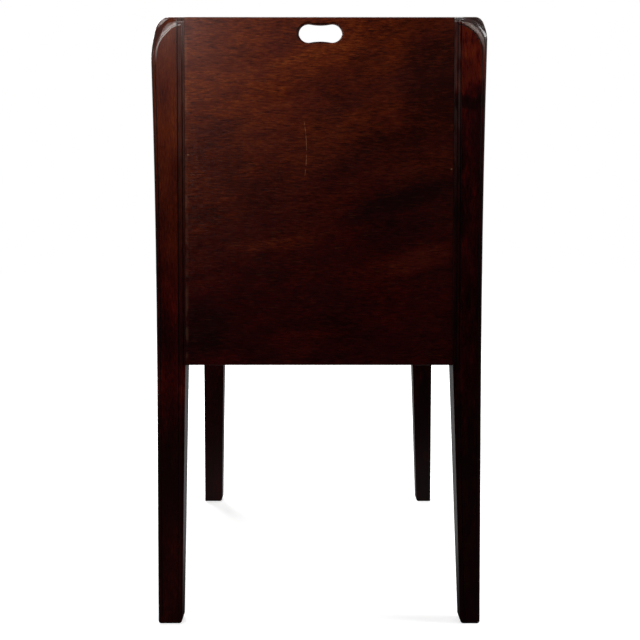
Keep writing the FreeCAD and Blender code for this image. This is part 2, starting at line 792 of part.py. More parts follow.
def sliding_door(name, start_x, along, pull_at_left):
    end_x = start_x + door_width
    face = along - half_door
    labels = [name + "_stile_outer", name + "_stile_inner"]
    if not pull_at_left:
        labels.reverse()
    left = door_stile(labels[0], start_x, True, along)
    right = door_stile(labels[1], end_x - size("stile_width"), False, along)
    outer = left if pull_at_left else right
    outer_edge = start_x if pull_at_left else end_x - size("stile_width")
    pull_x = outer_edge + size("stile_width") / 2
    cut_hole(outer, name + "_pull_seat", (pull_x, face, pull_level),
             size("pull_radius") + size("pull_fit"), size("pull_depth") + size("pull_fit"))
    for side_name, side in (("upper", 1), ("lower", -1)):
        cut_hole(outer, "%s_%s_pin_hole" % (name, side_name),
                 (pull_x, face, pull_level + pin_offset * side),
                 size("pin_radius") + size("pull_fit"),
                 size("pin_length") - size("pull_rim_thickness") + size("pull_fit"))
    between = (start_x + size("stile_width"), end_x - size("stile_width"))
    lower = door_rail(name + "_rail_bottom", between[0], between[1], door_low, along, True)
    upper = door_rail(name + "_rail_top", between[0], between[1],
                      door_high - size("door_rail_height"), along, False)
    reach = size("door_panel_groove") - size("door_panel_play")
    panel = new_body(name + "_panel")
    add_box(panel, name + "_panel_board",
            (between[0] - reach, along - half_panel, door_low + size("door_rail_height") - reach),
            (between[1] + reach, along + half_panel, door_high - size("door_rail_height") + reach))
    pull = finger_pull(name + "_pull", pull_x, face)
    pins = pull_pins(name + "_pull_pins", pull_x, face)
    return [left, right, lower, upper, panel, pull, pins]


nodes += sliding_door("front_door", size("door_end_gap") - post_side, front_door_middle, True)
nodes += sliding_door("rear_door", post_side - size("door_end_gap") - door_width,
                      rear_door_middle, False)


# Check every object and write each piece

document.recompute()
for item in document.Objects:
    if "Invalid" in item.State or "Error" in item.State:
        raise RuntimeError("%s is %s" % (item.Name, item.State))
os.makedirs("parts", exist_ok=True)
for node in nodes:
    shape = node.Shape
    if shape.isNull() or not shape.isValid():
        raise RuntimeError(node.Label + " has no valid shape")
    shape.exportStep("parts/%s.step" % node.Label)
    box = shape.BoundBox
    print("%-24s %d solid(s) %9.0f mm3  x %.1f..%.1f  y %.1f..%.1f  z %.1f..%.1f" % (
        node.Label, len(shape.Solids), shape.Volume, box.XMin, box.XMax, box.YMin, box.YMax,
        box.ZMin, box.ZMax))
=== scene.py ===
import json
import math
import bpy
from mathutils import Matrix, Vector


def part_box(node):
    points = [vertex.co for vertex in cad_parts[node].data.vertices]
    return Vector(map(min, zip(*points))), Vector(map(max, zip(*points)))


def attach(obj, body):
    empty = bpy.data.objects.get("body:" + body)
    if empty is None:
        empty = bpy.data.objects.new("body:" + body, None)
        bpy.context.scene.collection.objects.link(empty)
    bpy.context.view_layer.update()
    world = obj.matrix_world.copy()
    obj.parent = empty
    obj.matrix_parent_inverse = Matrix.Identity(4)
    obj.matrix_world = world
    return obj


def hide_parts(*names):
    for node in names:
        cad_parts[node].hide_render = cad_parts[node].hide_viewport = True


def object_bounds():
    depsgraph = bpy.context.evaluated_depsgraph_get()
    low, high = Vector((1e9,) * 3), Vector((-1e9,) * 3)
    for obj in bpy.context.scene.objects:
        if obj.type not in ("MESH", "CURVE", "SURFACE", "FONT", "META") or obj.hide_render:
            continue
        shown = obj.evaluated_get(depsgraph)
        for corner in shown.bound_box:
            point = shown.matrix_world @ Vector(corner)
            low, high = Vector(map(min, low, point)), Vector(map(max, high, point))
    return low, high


# Tray-top mahogany bedside cabinet on four tapering legs, seen square to its left side board.
# Metres, +Z up, doors towards -Y.

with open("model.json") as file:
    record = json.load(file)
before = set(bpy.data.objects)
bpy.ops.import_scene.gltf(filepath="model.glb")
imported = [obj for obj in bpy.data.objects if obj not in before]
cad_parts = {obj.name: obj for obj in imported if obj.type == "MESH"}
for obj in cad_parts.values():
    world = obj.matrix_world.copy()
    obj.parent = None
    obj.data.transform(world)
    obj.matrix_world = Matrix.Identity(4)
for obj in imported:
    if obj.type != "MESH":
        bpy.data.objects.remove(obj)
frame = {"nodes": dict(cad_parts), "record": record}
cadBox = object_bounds()
nodes = frame["nodes"]
print("Frame loaded:", len(nodes), "pieces")


# Shader maths

class Wire:
    # An output of a node, so that sums and products read as a formula
    def __init__(self, tree, socket):
        self.tree = tree
        self.socket = socket

    def maths(self, operation, *values, clamp=False):
        settings = {"operation": operation, "use_clamp": clamp}
        return addNode(self.tree, "ShaderNodeMath", settings, dict(enumerate(values)))

    def __add__(self, other):
        return self.maths("ADD", self, other)

    __radd__ = __add__

    def __sub__(self, other):
        return self.maths("SUBTRACT", self, other)

    def __rsub__(self, other):
        return self.maths("SUBTRACT", other, self)

    def __mul__(self, other):
        return self.maths("MULTIPLY", self, other)

    __rmul__ = __mul__

    def __abs__(self):
        return self.maths("ABSOLUTE", self)

    def clamped(self):
        return self.maths("ADD", self, 0.0, clamp=True)

    def step(self, start, end):
        # 0 at start, 1 at end, smooth between; start may be the larger
        return addNode(self.tree, "ShaderNodeMapRange", {"interpolation_type": "SMOOTHSTEP"},
                       {"Value": self, "From Min": start, "From Max": end})


def addNode(tree, kind, settings=None, values=None, output=0):
    node = tree.nodes.new(kind)
    for key, value in (settings or {}).items():
        if key == "stops":
            fillRamp(node.color_ramp, value)
        else:
            setattr(node, key, value)
    for key, value in (values or {}).items():
        if isinstance(value, Wire):
            tree.links.new(value.socket, node.inputs[key])
        else:
            node.inputs[key].default_value = value
    return Wire(tree, node.outputs[output]) if node.outputs else None


def fillRamp(ramp, stops):
    while len(ramp.elements) > 1:
        ramp.elements.remove(ramp.elements[-1])
    ramp.elements[0].position = stops[0][0]
    ramp.elements[0].color = shown(*stops[0][1])
    for place, colour in stops[1:]:
        ramp.elements.new(place).color = shown(*colour)


def shown(red, green, blue):
    # A colour as a screen shows it, 0 to 255, in the light values that a shader wants
    def light(level):
        level = level / 255
        return level / 12.92 if level <= 0.04045 else ((level + 0.055) / 1.055) ** 2.4
    return (light(red), light(green), light(blue), 1)


def mix(factor, first, second):
    # 6, 7 and 2 are the node's colour sockets: its names stand for numbers and vectors as well
    return addNode(factor.tree, "ShaderNodeMix", {"data_type": "RGBA", "clamp_factor": True},
                   {"Factor": factor, 6: first, 7: second}, 2)


def tint(colour, amount, tone):
    return mix(amount, colour, shown(*tone))


def ramp(factor, stops):
    return addNode(factor.tree, "ShaderNodeValToRGB", {"stops": stops}, {0: factor})


def join(x, y, z):
    return addNode(x.tree, "ShaderNodeCombineXYZ", None, {"X": x, "Y": y, "Z": z})


def split(vector):
    kind = "ShaderNodeSeparateXYZ"
    return [addNode(vector.tree, kind, None, {0: vector}, axis) for axis in range(3)]


def placeOn(tree):
    # x, y and z on the piece, in metres
    return split(addNode(tree, "ShaderNodeTexCoord", output="Object"))


def pattern(layer, x, y, z):
    # Noise as a layer sets it: turns per metre each way, a shift along the first, detail,
    # roughness, and the levels between which it shows
    turns = layer["turns"]
    x = x * turns[0]
    if "shift" in layer:
        x = x + layer["shift"]
    place = join(x, y * turns[1], z * turns[2])
    noise = addNode(place.tree, "ShaderNodeTexNoise", None, {
        "Vector": place, "Scale": 1.0, "Detail": layer.get("detail", 2.0),
        "Roughness": layer.get("roughness", 0.5)})
    return noise.step(*layer["levels"]) if "levels" in layer else noise


def shade(tree, reach, alone, inside=False):
    # How open a point is to the air (or, inside, to the wood): 1 in the open, less in a corner
    return addNode(tree, "ShaderNodeAmbientOcclusion",
                   {"samples": 4, "only_local": alone, "inside": inside}, {"Distance": reach}, "AO")


def newMaterial(name):
    material = bpy.data.materials.new(name)
    material.use_nodes = True
    material.node_tree.nodes.clear()
    return material


def finishMaterial(material, surface):
    addNode(material.node_tree, "ShaderNodeOutputMaterial", None, {"Surface": surface})
    return material


# Mahogany. Its figure is made of layers; turns are along, across and through the grain

grainLayers = {
    "wander": {"turns": (2.4, 6, 6)},
    "fibre": {"turns": (120, 600, 600), "detail": 3, "roughness": 0.62},
    "band": {"turns": (9, 48, 48), "detail": 3, "roughness": 0.6},
    "cloud": {"turns": (9, 17, 17), "detail": 4, "roughness": 0.6},
    "plum": {"turns": (13, 24, 24), "shift": 4, "detail": 4, "roughness": 0.6,
             "levels": (0.46, 0.68)},
    "dash": {"turns": (80, 800, 600), "levels": (0.54, 0.70)},
    "fleck": {"turns": (60, 620, 560), "shift": 7, "levels": (0.60, 0.74)},
    "pore": {"turns": (190, 2300, 2300), "detail": 1, "levels": (0.58, 0.68)},
    "rubbed": {"turns": (9, 14, 14), "detail": 3},
}

woodLook = {
    "grain": "z",           # the way the grain runs
    "shift": 0.0,           # moves the pattern along the grain
    "lean": 0.0,            # slope of the figure across the grain
    "wander": 0.03,
    "bands": 0.38,
    "clouds": 1.1,
    "fibres": 1.3,
    "dashes": 0.6,
    "pores": 0.3,
    "poreTone": (14, 3, 2),
    "flecks": 0.06,         # short and pale
    "fleckTone": (150, 96, 60),
    "plum": 0.4,            # purple patches
    "lowPlum": (36, 1, 4),
    "highPlum": (70, 20, 15),
    "lowTones": [(0.1, (20, 1, 1)), (0.45, (42, 2, 2)), (0.7, (56, 6, 3)), (0.9, (76, 18, 7))],
    "highTones": [(0.1, (46, 9, 2)), (0.45, (83, 26, 4)), (0.7, (105, 41, 8)),
                  (0.9, (131, 60, 18))],
    "levels": (0.36, 0.74),     # heights between which low tones turn into high ones: painted shade, darker low down
    "ragged": 0.10,             # how far the clouds push that change up and down
    "alone": False,             # shade only from the piece itself, for what slides
    # dirt and painted shade in corners and recesses, which also dulls the polish there
    "dirtAndShade": 0.75,
    "dirtAndShadeReach": 0.007,
    "dirtAndShadeTone": (9, 4, 4),
    "dirtAndShadeRoughness": 0.3,
    "edgeTint": 0.45,                # wear along the edges
    "edgeReach": 0.0028,
    "edgeLevels": (0.25, 0.75),
    "edgeLayer": {"turns": (55, 55, 34), "detail": 3, "levels": (0.40, 0.66)},
    "edgeTintTone": (128, 74, 44),
    "roughness": 0.33,
    "rubbedRoughness": 0.20,
    "fibreRoughness": 0.10,
    "relief": 0.30,
    "reliefDepth": 0.0004,
    "rubbedHeight": 1.2,        # shares in the relief
    "fibreHeight": 0.35,
    "poreDepth": 0.5,
    "dashDepth": 0.3,
    "shine": 0.11,
    "polish": 0.06,
    "polishRoughness": 0.2,
}

# Unpolished faces inside the cupboard: where they end, and their look

insideLook = {
    "side": 0.2524,
    "back": 0.1835,
    "front": -0.1520,
    "top": 0.7112,
    "fade": 0.0006,
    "amount": 0.85,
    "fibres": (0.3, 0.7),
    "darkTone": (66, 36, 22),
    "paleTone": (104, 66, 42),
    "roughness": 0.36,      # added to that of the wood
}


def drySide(x, y, z):
    # 1 on the unpolished faces
    look = insideLook
    fade = look["fade"]
    walls = abs(x).step(look["side"] + fade, look["side"])
    walls = walls * y.step(look["back"] + fade, look["back"])
    walls = walls * y.step(look["front"] - fade, look["front"])
    return walls * z.step(look["top"] + fade, look["top"])


def mahogany(name, look):
    material = newMaterial(name)
    tree = material.node_tree
    x, y, z = placeOn(tree)
    facing = split(addNode(tree, "ShaderNodeNewGeometry", output="Normal"))
    along, across, through = {"x": (x, z, y), "y": (y, z, x), "z": (z, y, x)}[look["grain"]]
    along = along + look["shift"]

    # the grain lines wander; the figure leans across them
    layers = grainLayers
    wander = pattern(layers["wander"], along, across, through) - 0.5
    flow = across + wander * look["wander"]
    leaning = flow + along * look["lean"]
    band = pattern(layers["band"], along, leaning, through)
    cloud = pattern(layers["cloud"], along, leaning, through)
    plum = pattern(layers["plum"], along, leaning, through)
    fibre = pattern(layers["fibre"], along, flow, through)
    dash = pattern(layers["dash"], along, flow, through)
    fleck = pattern(layers["fleck"], along, flow, through)
    pore = pattern(layers["pore"], along, flow, through)

    tone = 0.5 + (band - 0.5) * look["bands"] + (cloud - 0.5) * look["clouds"]
    tone = tone + (fibre - 0.5) * look["fibres"]
    # darker low down and lighter high up: painted shade
    rise = z + (cloud - 0.5) * look["ragged"]
    if "figure" in look:
        lift, warmth = look["figure"](x, y, z, cloud, band, facing)
        tone = tone + lift
        rise = rise + warmth
    rise = rise.step(*look["levels"])
    colour = mix(rise, ramp(tone, look["lowTones"]), ramp(tone, look["highTones"]))
    purple = mix(rise, shown(*look["lowPlum"]), shown(*look["highPlum"]))
    colour = mix(plum * look["plum"], colour, purple)
    colour = tint(colour, dash * look["dashes"] + pore * look["pores"], look["poreTone"])
    colour = tint(colour, fleck * look["flecks"], look["fleckTone"])

    # a tint along the edges, and dirt and painted shade in the corners
    edge = (1 - shade(tree, look["edgeReach"], True, True)).step(*look["edgeLevels"])
    edgeTinted = edge * pattern(look["edgeLayer"], x, y, z) * look["edgeTint"]
    colour = tint(colour, edgeTinted, look["edgeTintTone"])
    dirtAndShade = (1 - shade(tree, look["dirtAndShadeReach"], look["alone"])) * look["dirtAndShade"]
    colour = tint(colour, dirtAndShade, look["dirtAndShadeTone"])
    if "marks" in look:
        colour = look["marks"](colour, x, y, z, facing)

    rubbed = pattern(layers["rubbed"], along, across, through)
    roughness = look["roughness"] + (rubbed - 0.5) * look["rubbedRoughness"]
    roughness = roughness + (fibre - 0.5) * look["fibreRoughness"] + dirtAndShade * look["dirtAndShadeRoughness"]
    height = fibre * look["fibreHeight"] + rubbed * look["rubbedHeight"]
    height = height - pore * look["poreDepth"] - dash * look["dashDepth"]
    coat = 1 - dirtAndShade
    if "headPolish" in look:
        rolled = abs(facing[0]).step(*look["headTilt"]) * z.step(*look["headLevels"])
        coat = coat + rolled * look["headPolish"]
    if "dry" in look:
        dry = drySide(x, y, z)
        bare = mix(fibre.step(*insideLook["fibres"]), shown(*insideLook["darkTone"]),
                   shown(*insideLook["paleTone"]))
        colour = mix(dry * insideLook["amount"], colour, bare)
        roughness = roughness + dry * insideLook["roughness"]
        coat = coat - dry
    bump = addNode(tree, "ShaderNodeBump", None, {
        "Strength": look["relief"], "Distance": look["reliefDepth"], "Height": height})
    surface = addNode(tree, "ShaderNodeBsdfPrincipled", None, {
        "Base Color": colour, "Roughness": roughness, "Normal": bump,
        "Specular IOR Level": look["shine"], "Coat Weight": (coat * look["polish"]).clamped(),
        "Coat Roughness": look["polishRoughness"]})
    return finishMaterial(material, surface)


# Halves of the cabinet: where they start, and where they count in full

halves = {
    "front": (0.05, -0.05),
    "left": (0.0, -0.01),
}

# Soft patches in the figure of the side boards: place along y and z, half length, half height,
# slope, tone, warmth

boardPatches = {
    "glow": (-0.062, 0.628, 0.055, 0.045, 0.0, 0.06, 0.02),
    "honey": (0.000, 0.722, 0.070, 0.026, 0.1, 0.10, 0.04),
    "upperWarm": (0.060, 0.682, 0.100, 0.046, 0.1, 0.07, 0.015),
    "greyCorner": (-0.140, 0.700, 0.050, 0.080, 0.0, -0.25, -0.06),
    "rightDark": (-0.095, 0.525, 0.090, 0.060, 0.2, -0.14, -0.05),
    "midDark": (-0.080, 0.622, 0.070, 0.042, 0.1, -0.16, -0.04),
    "middle": (0.000, 0.572, 0.120, 0.070, 0.1, -0.06, -0.035),
    "darkBand": (-0.110, 0.545, 0.100, 0.018, 0.35, -0.20, -0.05),
    "leftDark": (0.125, 0.605, 0.040, 0.045, 0.0, -0.10, -0.02),
    "ember": (-0.125, 0.470, 0.052, 0.024, 0.2, 0.08, 0.03),
    "streak": (0.045, 0.488, 0.060, 0.012, 0.15, 0.14, 0.03),
    "lowLeft": (0.150, 0.375, 0.036, 0.050, 0.0, -0.16, -0.03),
    "plum": (-0.110, 0.385, 0.070, 0.045, 0.2, 0.06, -0.10),
}

sideLook = {
    "tone": -0.07,
    "backTone": 0.1,            # painted light, added per metre towards the back
    "highBackTone": 1.0,        # and more of it high up
    "warmth": -0.03,
    "highBackWarmth": 0.30,
    "high": (0.42, 0.74),
    "patchClouds": 0.9,         # how ragged the patches are
    "patchBands": 0.5,
    "topEdge": (0.7720, 0.7732),
    "top": 0.6,
    "ring": 0.72,               # darker ring round the hand hold
    "ringLevel": 0.7534,
    "ringLength": 0.0287,
    "ringHeight": 0.0127,
    "ringEdge": (1.15, 0.88),
    "darkRimTone": (20, 9, 8),
    "end": (0.1645, 0.1680),    # paler strip by the back post
    "endPale": 0.14,
    "endLayer": {"turns": (90, 60, 1), "detail": 3, "levels": (0.40, 0.62)},
    "endTone": (140, 96, 74),
    "scratch": 0.42,
    "scratchPlace": 0.0160,
    "scratchMiddle": 0.606,
    "scratchBow": 2.2,
    "scratchEnds": (0.572, 0.646),
    "scratchFade": 0.008,
    "scratchWidth": (0.0005, 0.0001),
    "scratchLayer": {"turns": (60, 170, 1), "levels": (0.35, 0.6)},
    "knock": 0.45,
    "knocks": [(0.1655, 0.601), (-0.1672, 0.583)],
    "knockSize": (0.0024, 0.0008),
    "knockFlat": 2.0,
    "bareTone": (176, 120, 84),
}

# Figures and marks are called alike for all woods, so each leaves some of its values unused


def boardFigure(x, y, z, cloud, band, facing):
    look = sideLook
    # painted light: lighter and warmer towards the back, more so high up
    high = z.step(*look["high"])
    tone = y * (look["backTone"] + high * look["highBackTone"]) + look["tone"]
    warmth = y * look["highBackWarmth"] * high + look["warmth"]
    ragged = (cloud - 0.5) * look["patchClouds"] + (band - 0.5) * look["patchBands"]
    for sideways, level, length, height, slope, lift, warm in boardPatches.values():
        off = y - sideways
        rise = (z - level + off * slope) * (1 / height)
        off = off * (1 / length)
        patch = (1 - off * off - rise * rise + ragged).step(0.0, 1.0)
        tone = tone + patch * lift
        warmth = warmth + patch * warm
    return tone, warmth


def sideMarks(colour, x, y, z, facing):
    look = sideLook
    # dark top edge, and the ring round the hand hold
    sideways = abs(y) * (1 / look["ringLength"])
    rise = abs(z - look["ringLevel"]) * (1 / look["ringHeight"])
    ring = (sideways * sideways * sideways + rise * rise * rise).step(*look["ringEdge"])
    darkRim = z.step(*look["topEdge"]) * look["top"] + ring * look["ring"]
    colour = tint(colour, darkRim, look["darkRimTone"])

    # only on the left board: the paler end, a long bowed scratch and two knocks
    left = x.step(*halves["left"])
    paleEnd = y.step(*look["end"]) * pattern(look["endLayer"], y, z, x)
    colour = tint(colour, paleEnd * left * look["endPale"], look["endTone"])
    up = z - look["scratchMiddle"]
    scratch = abs(y - look["scratchPlace"] - up * up * look["scratchBow"])
    low, high = look["scratchEnds"]
    fade = look["scratchFade"]
    scratch = scratch.step(*look["scratchWidth"])
    scratch = scratch * z.step(low, low + fade) * z.step(high, high - fade)
    broken = scratch * pattern(look["scratchLayer"], y, z, x) * look["scratch"]
    knocks = 0
    for place, level in look["knocks"]:
        away = abs(y - place) + abs(z - level) * look["knockFlat"]
        knocks = knocks + away.step(*look["knockSize"])
    return tint(colour, (broken + knocks * look["knock"]) * left, look["bareTone"])


# The posts. Pairs of numbers are levels between which something starts or ends

postLook = {
    "sideFace": (0.3, 0.8),     # how far a face has to look sideways
    "tone": -0.24,              # of the front posts' side faces: painted shade
    "highTone": 0.34,
    "highToneFrom": (0.48, 0.72),
    "warmth": -0.30,
    "frontWarmth": -0.08,
    "clouds": 0.8,
    "mottle": 1.4,
    "mottleWarmth": 0.9,
    "mottleLayer": {"turns": (60, 120, 34), "detail": 3, "roughness": 0.6},
    "stain": 0.45,              # a dark band across the left one
    "stainLevel": 0.668,
    "stainHeight": (0.011, 0.004),
    "stainWave": 0.02,
    "lowTone": 0.04,
    "lowToneFrom": (0.46, 0.30),
    "kneeTop": (0.48, 0.40),    # just under the board: back legs lighter, front legs darker
    "kneeFoot": (0.26, 0.33),
    "backKnee": 0.10,
    "frontKnee": -0.16,
    "outer": (0.2600, 0.2605),  # the outer 5 mm, with the side face and the bead
    "high": (0.50, 0.76),
    "bead": (0.1800, 0.1790),
    "beadFoot": (0.330, 0.338),
    "backDirtAndShade": 0.50,
    "frontDirtAndShade": 0.26,
    "lighterHigh": 0.35,
    "dirtAndShadeTone": (18, 7, 6),
    "backBeadSheen": 0.28,
    "frontBeadSheen": 0.38,
    "blotchLayer": {"turns": (90, 200, 40), "detail": 3, "levels": (0.30, 0.62)},
    "beadSheenTone": (84, 64, 60),
    "grooveShade": 0.75,
    "groovePlaces": (0.1726, 0.1784),
    "frontGrooveShift": 0.0018,
    "firstGrooveWidth": (0.0010, 0.0004),
    "secondGrooveWidth": (0.0010, 0.0005),
    "grooveShadeTone": (12, 5, 5),
    "headFoot": (0.715, 0.750),
    "headTilt": (0.9990, 0.9900),
    "fallen": (0.2640, 0.2630),     # what the head's fall takes in below its face
    "headOuter": (0.2596, 0.2600),
    "headInner": (0.2612, 0.2622),
    "headInnerTilt": (0.925, 0.965),
    "backHead": 0.20,
    "frontHead": 0.82,
    "frontHeadInner": 0.62,
    "headShadeTone": (42, 36, 34),
    "headHighlightTone": (132, 120, 114),
    "edge": 0.50,               # painted shade on the rolled outer edge
    "edgeBlotches": 0.3,
    "edgeFrom": (0.196, 0.200),
    "edgeTilt": (0.985, 0.80),
    "edgeTiltEnd": (0.10, 0.40),
    "edgeShadeLowTone": (22, 16, 15),
    "edgeShadeHighTone": (52, 44, 41),
    # painted shade on the feet
    "foot": 0.50,
    "footFrom": (0.35, 0.12),
    "footShadeTone": (29, 11, 11),
    "glint": 0.75,              # in the sunk line of the back heads
    "glintFrom": (0.712, 0.750),
    "glintDepth": (0.2639, 0.2642),
    "glintTilt": (0.90, 0.82),
    "glintTone": (220, 208, 202),
}


def postFigure(x, y, z, cloud, band, facing):
    # painted shade on the front posts' side faces, darker and redder but less so high up; the back
    # posts orange at the top
    look = postLook
    front = y.step(*halves["front"])
    left = x.step(*halves["left"])
    outer = front * abs(facing[0]).step(*look["sideFace"])
    mottle = pattern(look["mottleLayer"], x, y, z) - 0.5
    tone = z.step(*look["highToneFrom"]) * look["highTone"] + look["tone"]
    tone = tone + (cloud - 0.5 + mottle * look["mottle"]) * look["clouds"]
    stain = abs(z - look["stainLevel"] + (band - 0.5) * look["stainWave"])
    stain = stain.step(*look["stainHeight"])
    tone = (tone - stain * left * look["stain"]) * outer
    knee = z.step(*look["kneeTop"]) * z.step(*look["kneeFoot"])
    tone = tone + knee * (look["backKnee"] + front * (look["frontKnee"] - look["backKnee"]))
    tone = tone + z.step(*look["lowToneFrom"]) * look["lowTone"]
    warmth = outer * (mottle * look["mottleWarmth"] + look["warmth"])
    return tone, warmth + front * look["frontWarmth"]


def postMarks(colour, x, y, z, facing):
    look = postLook
    sideOn = abs(facing[0])     # 1 on a side face, 0 on one that looks another way
    front = y.step(*halves["front"])
    high = z.step(*look["high"])
    blotches = pattern(look["blotchLayer"], x, y, z)

    # dirt and painted shade along the bead beside the board, less of it high up, and a painted pale
    # sheen on the bead high up
    bead = abs(y).step(*look["bead"]) * z.step(*look["beadFoot"]) * abs(x).step(*look["outer"])
    dirtAndShade = look["backDirtAndShade"] + front * (look["frontDirtAndShade"] - look["backDirtAndShade"])
    colour = tint(colour, bead * (1 - high * look["lighterHigh"]) * dirtAndShade, look["dirtAndShadeTone"])
    beadSheen = look["backBeadSheen"] + front * (look["frontBeadSheen"] - look["backBeadSheen"])
    colour = tint(colour, bead * high * blotches * beadSheen, look["beadSheenTone"])

    # on the rolled head: a painted highlight by its sunk line, painted shade at its outline
    fallen = (sideOn.step(*look["headTilt"]) + abs(x).step(*look["fallen"])).clamped()
    head = fallen * z.step(*look["headFoot"]) * abs(x).step(*look["headOuter"])
    inner = sideOn.step(*look["headInnerTilt"]) * abs(x).step(*look["headInner"])
    strength = look["frontHead"] - look["backHead"]
    strength = strength + inner * (look["frontHeadInner"] - look["frontHead"])
    strength = look["backHead"] + front * strength
    tone = mix(inner, shown(*look["headShadeTone"]), shown(*look["headHighlightTone"]))
    colour = mix(head * strength, colour, tone)

    # painted shade along the rolled outer edge, which turns from the light, and on the feet
    rolled = sideOn.step(*look["edgeTilt"]) * sideOn.step(*look["edgeTiltEnd"])
    rolled = rolled * abs(y).step(*look["edgeFrom"])
    tone = mix(high, shown(*look["edgeShadeLowTone"]), shown(*look["edgeShadeHighTone"]))
    colour = mix(rolled * (look["edge"] + blotches * look["edgeBlotches"]), colour, tone)
    colour = tint(colour, z.step(*look["footFrom"]) * look["foot"], look["footShadeTone"])

    # painted highlight in the sunk line of the back heads
    sunk = sideOn.step(*look["glintTilt"]) * abs(x).step(*look["glintDepth"])
    sunk = sunk * z.step(*look["glintFrom"])
    colour = tint(colour, sunk * (1 - front) * look["glint"], look["glintTone"])

    # painted shade in the sunk lines on both sides of the bead; at the front the first one lies
    # further out
    first, second = look["groovePlaces"]
    grooveShade = abs(abs(y) - first - front * look["frontGrooveShift"]).step(*look["firstGrooveWidth"])
    grooveShade = grooveShade + abs(abs(y) - second).step(*look["secondGrooveWidth"])
    return tint(colour, bead * grooveShade * look["grooveShade"], look["grooveShadeTone"])


legWood = {
    **woodLook,
    "figure": postFigure,
    "marks": postMarks,
    "levels": (0.38, 0.70),
    "lowTones": [(0.15, (14, 1, 1)), (0.45, (34, 2, 2)), (0.7, (60, 6, 4)), (0.9, (88, 22, 6))],
    "highTones": [(0.15, (40, 4, 1)), (0.45, (75, 21, 3)), (0.7, (91, 33, 6)),
                  (0.9, (111, 49, 12))],
    "bands": 0.6,
    "fibres": 0.9,
    "dashes": 0.4,
    "flecks": 0.02,
    # dark grey along the legs' edges
    "edgeTint": 0.8,
    "edgeTintTone": (46, 34, 31),
    "roughness": 0.36,
    "shine": 0.05,
    "polish": 0.10,
    "headPolish": 2.6,          # more polish on the rolled heads
    "headTilt": (0.9999, 0.995),
    "headLevels": (0.700, 0.735),
}

sideWood = {
    **woodLook,
    "grain": "y",
    "lean": 0.16,
    "figure": boardFigure,
    "marks": sideMarks,
    "dry": True,
    # dark along the side boards' edges, such as the top edge and round the hand hold
    "edgeTint": 0.8,
    "edgeTintTone": (22, 11, 9),
    "edgeLayer": {**woodLook["edgeLayer"], "levels": (0.20, 0.42)},
}

panelWood = {**woodLook, "alone": True, "bands": 1.2, "clouds": 1.3, "lean": 0.25}

materials = {
    "legs": mahogany("mahoganyLegs", legWood),
    "sides": mahogany("mahoganySides", sideWood),
    "boards": mahogany("mahoganyBoards", {**woodLook, "grain": "x", "dry": True}),
    "rails": mahogany("mahoganyRails", {**woodLook, "grain": "x", "alone": True}),
    "stiles": mahogany("mahoganyStiles", {**woodLook, "alone": True}),
    "panels": mahogany("mahoganyPanels", panelWood),
}
print("Mahogany made")


# Oak, for what isn't polished

oakLook = {
    "tones": [(0.2, (74, 50, 33)), (0.5, (104, 74, 50)), (0.8, (132, 98, 68))],
    "wander": 0.02,
    "wanderLayer": {"turns": (3, 8, 8)},
    "fibres": {"turns": (16, 420, 420), "detail": 4, "roughness": 0.65},
    "rings": {"turns": (2.2, 70, 70)},
    "pores": {"turns": (60, 1500, 1500), "detail": 1, "levels": (0.56, 0.68)},
    "fibreTone": 0.9,
    "ringTone": 0.9,
    "poreDirt": 0.5,
    "dirtAndShade": 0.7,
    "dirtAndShadeReach": 0.02,
    "dirtAndShadeTone": (30, 18, 12),
    "roughness": 0.72,
    "fibreRoughness": 0.15,
    "relief": 0.5,
    "reliefDepth": 0.0005,
    "shine": 0.25,
}


def oak():
    look = oakLook
    material = newMaterial("dryOak")
    tree = material.node_tree
    x, y, z = placeOn(tree)
    wander = (pattern(look["wanderLayer"], x, y, z) - 0.5) * look["wander"]
    fibre = pattern(look["fibres"], x, y + wander, z)
    ring = pattern(look["rings"], x, y + wander, z)
    pore = pattern(look["pores"], x, y, z)
    tone = 0.5 + (fibre - 0.5) * look["fibreTone"] + (ring - 0.5) * look["ringTone"]
    colour = ramp(tone, look["tones"])
    # dirt in the pores; dirt and painted shade in the corners
    dirtAndShade = (1 - shade(tree, look["dirtAndShadeReach"], False)) * look["dirtAndShade"]
    colour = tint(colour, pore * look["poreDirt"] + dirtAndShade, look["dirtAndShadeTone"])
    roughness = look["roughness"] + (fibre - 0.5) * look["fibreRoughness"]
    bump = addNode(tree, "ShaderNodeBump", None, {
        "Strength": look["relief"], "Distance": look["reliefDepth"], "Height": fibre - pore})
    surface = addNode(tree, "ShaderNodeBsdfPrincipled", None, {
        "Base Color": colour, "Roughness": roughness, "Normal": bump,
        "Specular IOR Level": look["shine"]})
    return finishMaterial(material, surface)


# Aged brass, for the finger pulls and their pins

brassLook = {
    "clean": (196, 154, 84),
    "aged": (116, 82, 40),
    "grime": (34, 22, 12),
    "grimeAmount": 0.8,
    "grimeReach": 0.005,
    "grimeFrom": (0.2, 0.8),
    "grimeDull": 0.6,       # how much of the metal's look it hides
    "patina": {"turns": (160, 160, 160), "detail": 4, "roughness": 0.6, "levels": (0.38, 0.64)},
    "scratches": {"turns": (2600, 900, 240)},
    "roughness": 0.30,
    "patinaRoughness": 0.18,
    "grimeRoughness": 0.3,
    "scratchRoughness": 0.12,
    "relief": 0.25,
    "reliefDepth": 0.0002,
    "patinaHeight": 0.4,
}


